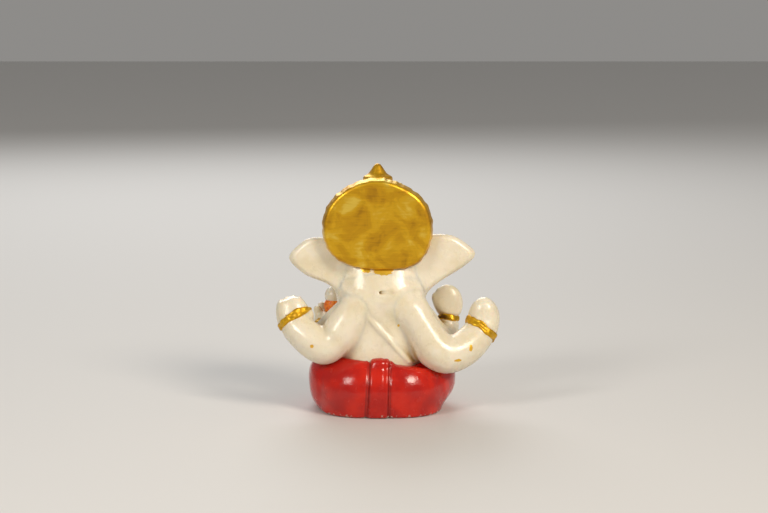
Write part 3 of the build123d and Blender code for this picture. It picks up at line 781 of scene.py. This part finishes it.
# the shoulders run in towards the spine under the nape
rear_left = union(
    rear_left,
    tube([(2.4, 5.0, 24.6, 2.2), (5.6, 5.9, 22.6, 3.1), (8.6, 6.6, 18.4, 3.5)]),
    2.0,
)
rear_right = union(
    rear_right,
    tube([(-2.6, 5.0, 24.8, 2.2), (-6.2, 5.9, 22.6, 3.3), (-9.8, 6.6, 18.0, 3.5), (-11.6, 6.8, 14.8, 3.8)]),
    2.0,
)

hands = {}
for name, u, v, w, radii, fingers in (
    ("rear_left_hand", 0.42, 0.5, 0.52, (3.1, 2.5, 3.2), (0.1, 1.42)),
    ("rear_right_hand", 0.46, 0.5, 0.61, (3.3, 2.6, 4.4), (-0.06, 1.5)),
    ("front_right_hand", 0.42, 0.5, 0.55, (3.2, 1.6, 3.9), (0.02, 1.4)),
    ("front_left_hand", 0.55, 0.5, 0.48, (3.0, 2.9, 1.7), ()),
):
    hands[name] = hand(name, spot(name, u, v, w), radii, fingers)
thumb = ball(spot("rear_left_hand", -0.02, 0.45, 0.4), (1.0, 1.1, 1.4))
hands["rear_left_hand"] = union(hands["rear_left_hand"], thumb, 0.8)

# sacred thread: a soft ridge from the left shoulder to the right waist
thread_tilt = math.radians(47)
thread_proud = 0.42
thread_half_width = 0.6
x, y, z = torso.axes()
across = math.cos(thread_tilt) * (z - shoulder[2] + 4.9) - math.sin(thread_tilt) * (x + 1.6)
ridge = soft_max(torso.values - thread_proud, np.abs(across) - thread_half_width, 0.8)
ridge = soft_max(ridge, (sacrum[2] - 3.2 - z) * np.ones_like(ridge), 0.3)
thread = Block(torso.low, ridge.astype(np.float32))
disc_low, disc_high = corner("crown_disc")


def gilt_spots(points, normals):
    """Where gold paint strayed onto the resin, 1 at the middle of a stray stroke."""
    middle = (disc_low[0] + disc_high[0]) / 2
    strays = (
        ((middle - 1.2, disc_high[1] - 0.6, disc_low[2] + 0.3), (3.4, 2.0, 1.3)),
        ((middle + 2.6, disc_high[1] - 0.6, disc_low[2] + 0.6), (1.8, 2.0, 1.0)),
        (spot("rear_right_arm", 0.24, 0.9, 0.34), (0.7, 2.4, 1.2)),
        (spot("rear_right_arm", 0.38, 0.9, 0.2), (1.2, 2.4, 0.5)),
        (spot("rear_right_arm", 0.14, 0.9, 0.5), (0.5, 2.4, 0.7)),
        (spot("rear_left_arm", 0.62, 0.9, 0.3), (0.6, 2.4, 0.6)),
        ((-3.9, 8.0, 20.0), (0.5, 2.4, 0.5)),
    )
    total = np.zeros(len(points))
    for centre, size in strays:
        gap = np.sqrt((((points - np.array(centre)) / np.array(size)) ** 2).sum(axis=1))
        total = np.maximum(total, np.clip(1 - gap * 0.75, 0, 1))
    return {"gilt": total}


figure = sculpt(
    [
        ("torso", torso, 0),
        ("head", head, 2.4),
        ("left_ear", ear("left_ear", 1), 2.2),
        ("right_ear", ear("right_ear", -1), 2.2),
        ("trunk", trunk, 1.0),
        ("rear_left_arm", rear_left, 1.9),
        ("rear_right_arm", rear_right, 1.9),
        ("front_left_arm", relax(from_node("front_left_arm"), 1), 2.0),
        ("front_right_arm", relax(from_node("front_right_arm"), 1), 2.0),
        ("rear_left_hand", hands["rear_left_hand"], 1.2),
        ("rear_right_hand", hands["rear_right_hand"], 1.2),
        ("front_left_hand", hands["front_left_hand"], 1.0),
        ("front_right_hand", hands["front_right_hand"], 1.0),
        ("sacred_thread", thread, 0.5),
    ],
    resin,
    gilt_spots,
    {
        "torso": shoulder + (0, 0, -3),
        "sacred_thread": shoulder + (0, 0, -3),
        "head": (head_low + head_high) / 2,
    },
)

# ---------------------------------------------------------------- the red dhoti
seat = relax(from_node("dhoti_seat"), 1)
seat_low, seat_high = corner("dhoti_seat")
x, y, z = seat.axes()
edge_x = np.array([-12.0, -9.3, -5.6, -2.7, -2.1, -1.0, 0.8, 2.9, 7.2, 12.0])
edge_z = np.array([-2.1, -2.0, -1.4, -0.8, -0.2, 0.6, 0.5, 0.05, 0.0, 0.0])
brink = seat_high[2] + np.interp(x[:, 0, 0], edge_x, edge_z).astype(np.float32).reshape(-1, 1, 1)
back = np.clip((y - 2) / 5, 0, 1)
brink = brink * back + (seat_high[2] + 0.2) * (1 - back)
seat.values = soft_max(seat.values - 0.1, (z - brink).astype(np.float32), 0.7)
seat = union(seat, ball((11.4, 1.0, 8.7), (4.6, 6.0, 3.4)), 2.4)  # fullness at the left hip
pleat_low, pleat_high = corner("dhoti_back_pleat")
centre_x = (pleat_low[0] + pleat_high[0]) / 2

pleat = relax(from_node("dhoti_back_pleat"), 2)
knot = ball((centre_x - 0.4, pleat_high[1] - 3.9, seat_high[2] - 0.7), (2.5, 1.5, 1.1))
pleat = union(pleat, knot, 1.2)
for part in (seat, pleat):
    x, y, z = part.axes()
    drop = 1 - np.clip(z / seat_high[2], 0, 1)
    behind = np.clip((y - 5.0) / 2, 0, 1)
    press(part, x - centre_x - 2.15 - 0.8 * drop, 0.27, 0.42, behind)
    press(part, x - centre_x + 2.35 - 0.3 * drop, 0.27, 0.42, behind)
    press(part, x - centre_x + 1.1, 0.3, 0.18, behind * (1 - drop))
left_side = 15.9  # how far the cloth reaches to each side, in millimetres
right_side = -16.9
left_thigh = relax(from_node("left_leg"), 1)
right_thigh = relax(from_node("right_leg"), 1)
for part in (seat, pleat, left_thigh, right_thigh):
    side_x = part.axes()[0]
    past_sides = np.maximum(side_x - left_side, right_side - side_x) + 0 * part.values
    part.values = soft_max(part.values, past_sides, 1.6)
sculpt(
    [
        ("dhoti_seat", seat, 0),
        ("dhoti_back_pleat", pleat, 1.0),
        ("left_leg", left_thigh, 2.6),
        ("right_leg", right_thigh, 2.6),
    ],
    red,
    None,
    {"dhoti_seat": ((seat_low[0] + seat_high[0]) / 2, (seat_low[1] + seat_high[1]) / 2, 5.5)},
)

# ---------------------------------------------------------------- feet, tusks, eyes and the sweet
for name, side in (("left_foot", -1), ("right_foot", 1)):
    foot = relax(from_node(name), 1)
    low, high = corner(name)
    middle = (low + high) / 2
    tip = high[0] if side > 0 else low[0]
    sole = ball(middle - (side * 0.9, 0, 0), (high - low) * (0.6, 0.66, 0.54))
    foot.values = soft_max(foot.values, sole.spread(foot.low, foot.high).part(foot), 0.8)
    for i in range(5):
        size = (1.0, 0.85, 0.8) if i == 4 else (0.8, 0.72, 0.6)
        toe = (tip - side * (0.5 + 0.3 * (4 - i)), middle[1] - 0.3, middle[2] + (i - 2) * 1.02)
        foot = union(foot, ball(toe, size), 0.25)
        if i < 4:
            x, y, z = foot.axes()
            near_tip = np.clip(1 - (tip - x) * side / 2.6, 0, 1)
            press(foot, z - middle[2] - (i - 1.5) * 1.02, 0.2, 0.4, near_tip)
    sculpt([(name, foot, 0)], resin)
for name, root, tip, blunt in (
    ("left_tusk", (5.3, -10.2, 32.3), (6.7, -12.4, 29.7), 0.62),  # broken short
    ("right_tusk", (-5.3, -10.2, 32.3), (-7.0, -13.5, 28.7), 0.34),
):
    root, tip = np.array(root), np.array(tip)
    half = (root + tip) / 2 + (0, -0.35, -0.1)
    horn = tube([(*root, 1.15), (*half, 0.95), (*tip, blunt)])
    sculpt([(name, union(from_node(name), horn, 0.3), 0)], resin)


def iris(points, normals):
    """1 over the iris, which faces straight ahead, falling to 0 on the white."""
    middle = points.mean(axis=0)
    gap = np.linalg.norm((points - middle)[:, (0, 2)], axis=1)
    return {"iris": np.clip(1.2 - gap * 0.8, 0, 1)}


for name in ("left_eye", "right_eye"):
    sculpt([(name, eyeballs[name], 0)], eye_paint, iris)
sculpt([("laddu", relax(from_node("laddu"), 1), 0)], orange)

# ---------------------------------------------------------------- gold paint
disc = from_node("crown_disc")
x, y, z = disc.axes()
rim_side = np.clip((disc_high[1] - 0.3 - y) / 0.8, 0, 1)
turn = np.arctan2(z - (disc_low[2] + disc_high[2]) / 2, x - (disc_low[0] + disc_high[0]) / 2)
lumps = 0.07 * np.sin(turn * 23) + 0.06 * np.sin(turn * 41 + 1.0)
disc.values = (disc.values - rim_side * lumps).astype(np.float32)
sculpt([("crown_disc", relax(disc), 0)], disc_gold)

brim_low, brim_high = corner("crown_brim")
cap = relax(from_node("crown_cap"), 2)
cap_low, cap_high = corner("crown_cap")
cushion = ball(
    ((brim_low[0] + brim_high[0]) / 2, (brim_low[1] + brim_high[1]) / 2 - 0.4, brim_high[2] - 0.3),
    ((brim_high[0] - brim_low[0]) / 2 - 0.5, (brim_high[1] - brim_low[1]) / 2 - 0.4, 2.2),
)
cap = union(cap, cushion, 1.0)
x, y, z = cap.axes()
rise = (z - brim_high[2]) / (cap_high[2] - brim_high[2])  # 0 at the brim, 1 at the cap's top
around = np.arctan2(y - cap_low[1] - 7.0, x - (cap_low[0] + cap_high[0]) / 2)
tier_depth, tier_pitch = 0.35, 0.24
tiers = tier_depth * np.maximum(np.cos((rise - 0.42) * 2 * math.pi / tier_pitch), 0) ** 3
tiers = tiers * (rise > 0.3) * (rise < 0.95)
flute_depth, flute_pairs = 0.45, 7
petals = np.abs(np.sin(around * flute_pairs)) ** 0.6
flute_start = np.clip((rise - 0.02) / 0.1, 0, 1)
flute_end = np.clip((0.36 - rise) / 0.1, 0, 1)
flutes = flute_depth * (1 - petals) * flute_start * flute_end
cap.values = (cap.values + tiers + flutes).astype(np.float32)
sculpt(
    [
        ("crown_cap", cap, 0),
        ("crown_brim", relax(from_node("crown_brim"), 1), 0.5),
        ("crown_finial", relax(from_node("crown_finial"), 1), 1.2),
    ],
    gold,
)


def bead_row(name, centres, radius):
    """A row of beads on given centres in millimetres, each a little unlike the next."""
    mesh = bpy.data.meshes.new(name + "_row")
    mesh.from_pydata([tuple(np.array(c) * MM) for c in centres], [], [])
    row = bpy.data.objects.new(name + "_row", mesh)
    bpy.context.collection.objects.link(row)
    tree = bpy.data.node_groups.new(name + "_tree", "GeometryNodeTree")
    tree.interface.new_socket("Geometry", in_out="INPUT", socket_type="NodeSocketGeometry")
    size = tree.interface.new_socket("Bead radius", in_out="INPUT", socket_type="NodeSocketFloat")
    tree.interface.new_socket("Geometry", in_out="OUTPUT", socket_type="NodeSocketGeometry")
    start = put(tree, "NodeGroupInput")
    given_radius = start.node.outputs["Bead radius"]
    bead = {"Segments": 20, "Rings": 12, "Radius": given_radius}
    bead = put(tree, "GeometryNodeMeshUVSphere", bead, "Mesh")
    sizes = {2: 0.86, 3: 1.08, "Seed": 4}  # the least and the most, as shares of the radius
    sizes = put(tree, "FunctionNodeRandomValue", sizes, 1, data_type="FLOAT")
    spread = {"Points": start, "Instance": bead, "Scale": sizes}
    spread = put(tree, "GeometryNodeInstanceOnPoints", spread)
    whole = put(tree, "GeometryNodeRealizeInstances", {"Geometry": spread})
    smooth = put(tree, "GeometryNodeSetShadeSmooth", {"Geometry": whole})
    painted = put(tree, "GeometryNodeSetMaterial", {"Geometry": smooth, "Material": gold})
    put(tree, "NodeGroupOutput", {0: painted})
    modifier = row.modifiers.new("beads", "NODES")
    modifier.node_group = tree
    modifier[size.identifier] = radius * MM
    graph = bpy.context.evaluated_depsgraph_get()
    plain = bpy.data.meshes.new_from_object(row.evaluated_get(graph))
    row.modifiers.clear()
    piece = bpy.data.objects.new(name + "_visual", plain)
    bpy.context.collection.objects.link(piece)
    bpy.data.objects.remove(row)
    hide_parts(name)
    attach(piece, "root")


low, high = corner("halo_beads")
halo_bead = 0.75
halo_z = (disc_low[2] + disc_high[2]) / 2
halo_rise = high[2] - halo_bead - halo_z
halo_reach = (high[0] - low[0]) / 2 - halo_bead
halo = [
    (
        (low[0] + high[0]) / 2 + halo_reach * math.cos(turn),
        high[1] - 0.3,
        halo_z + halo_rise * math.sin(turn),
    )
    for turn in np.linspace(-0.02, math.pi + 0.02, 29)
]
bead_row("halo_beads", halo, halo_bead)
low, high = corner("brim_beads")
brim_bead = 0.55
brim_reach = (high[0] - low[0]) / 2 - brim_bead
hoop_y = (brim_low[1] + brim_high[1]) / 2 + 0.9
brim_row = [
    (
        brim_reach * math.cos(turn),
        hoop_y + (hoop_y - low[1] - brim_bead) * math.sin(turn),
        (low[2] + high[2]) / 2,
    )
    for turn in np.linspace(-0.06 - math.pi, 0.06, 31)
]
bead_row("brim_beads", brim_row, brim_bead)
sculpt([("crown_jewel", relax(from_node("crown_jewel"), 1), 0)], red)
for name, half_width in (
    ("rear_left_bangle", 0.95),
    ("rear_right_bangle", 0.95),
    ("front_left_bangle", 0.75),
    ("front_right_bangle", 0.8),
):
    middle, axis = ring_frame(name)
    low, high = corner(name)
    radius = float(np.linalg.norm(high - low)) / 2 * 0.86 + 0.8
    band = painted_band(figure, middle, axis, radius, half_width, 0.34)
    sculpt([(name, band, 0)], gold)
for name in ("left_anklet", "right_anklet"):
    sculpt([(name, relax(from_node(name), 1), 0)], gold)
low, high = corner("necklace")
collar_middle = ((low[0] + high[0]) / 2, -4.0, shoulder[2] + 1.0)
collar = painted_band(figure, collar_middle, (0, -0.36, 0.93), 9.9, 0.6, 0.36, 0.05)
sculpt([("necklace", collar, 0)], gold)

# ---------------------------------------------------------------- floor, light and camera
floor_mesh = bpy.data.meshes.new("floor")
wide = 1.6  # metres from the middle to each edge
floor_corners = [(-wide, -wide, 0), (wide, -wide, 0), (wide, wide, 0), (-wide, wide, 0)]
floor_mesh.from_pydata(floor_corners, [], [(0, 1, 2, 3)])
floor = bpy.data.objects.new("floor", floor_mesh)
bpy.context.collection.objects.link(floor)
floor_paint, tree, place = material("studio_floor", "d9d8d6")  # matt off-white card
card = {"Base Color": colour("d6d5d3"), "Roughness": 0.65}
put(tree, SURFACE, {"Surface": put(tree, SHADER, card)})
floor_mesh.materials.append(floor_paint)

world = bpy.data.worlds.new("studio")
world.use_nodes = True
background = world.node_tree.nodes["Background"]
background.inputs["Color"].default_value = colour("e6e3df")
background.inputs["Strength"].default_value = 0.34
bpy.context.scene.world = world


MIDDLE = Vector((0, 0, 0.028))


def softbox(name, place, size, power, tone="ffffff"):
    """A square soft light that points at the middle of the figure."""
    data = bpy.data.lights.new(name, "AREA")
    data.size = size
    data.energy = power
    data.color = colour(tone)[:3]
    lamp = bpy.data.objects.new(name, data)
    lamp.location = place
    lamp.rotation_euler = (MIDDLE - Vector(place)).to_track_quat("-Z", "Y").to_euler()
    bpy.context.collection.objects.link(lamp)


softbox("key_softbox", (-0.34, 0.4, 0.4), 0.2, 2.5, "fff3e2")
softbox("fill_softbox", (0.36, 0.4, 0.34), 0.16, 1.2, "fffaf2")
softbox("front_softbox", (0.1, -0.5, 0.4), 0.4, 1.6)

camera_data = bpy.data.cameras.new("camera")
camera_data.lens = 100
camera_data.sensor_width = 36
camera_data.clip_start = 0.01
camera = bpy.data.objects.new("camera", camera_data)
target = Vector((-0.0007, 0.0, 0.0342))
distance, lift = 0.4755, math.radians(8)
camera.location = target + Vector((0, math.cos(lift), math.sin(lift))) * distance
camera.rotation_euler = (target - camera.location).to_track_quat("-Z", "Y").to_euler()
bpy.context.collection.objects.link(camera)
bpy.context.scene.camera = camera

bpy.context.scene.view_settings.view_transform = "Standard"
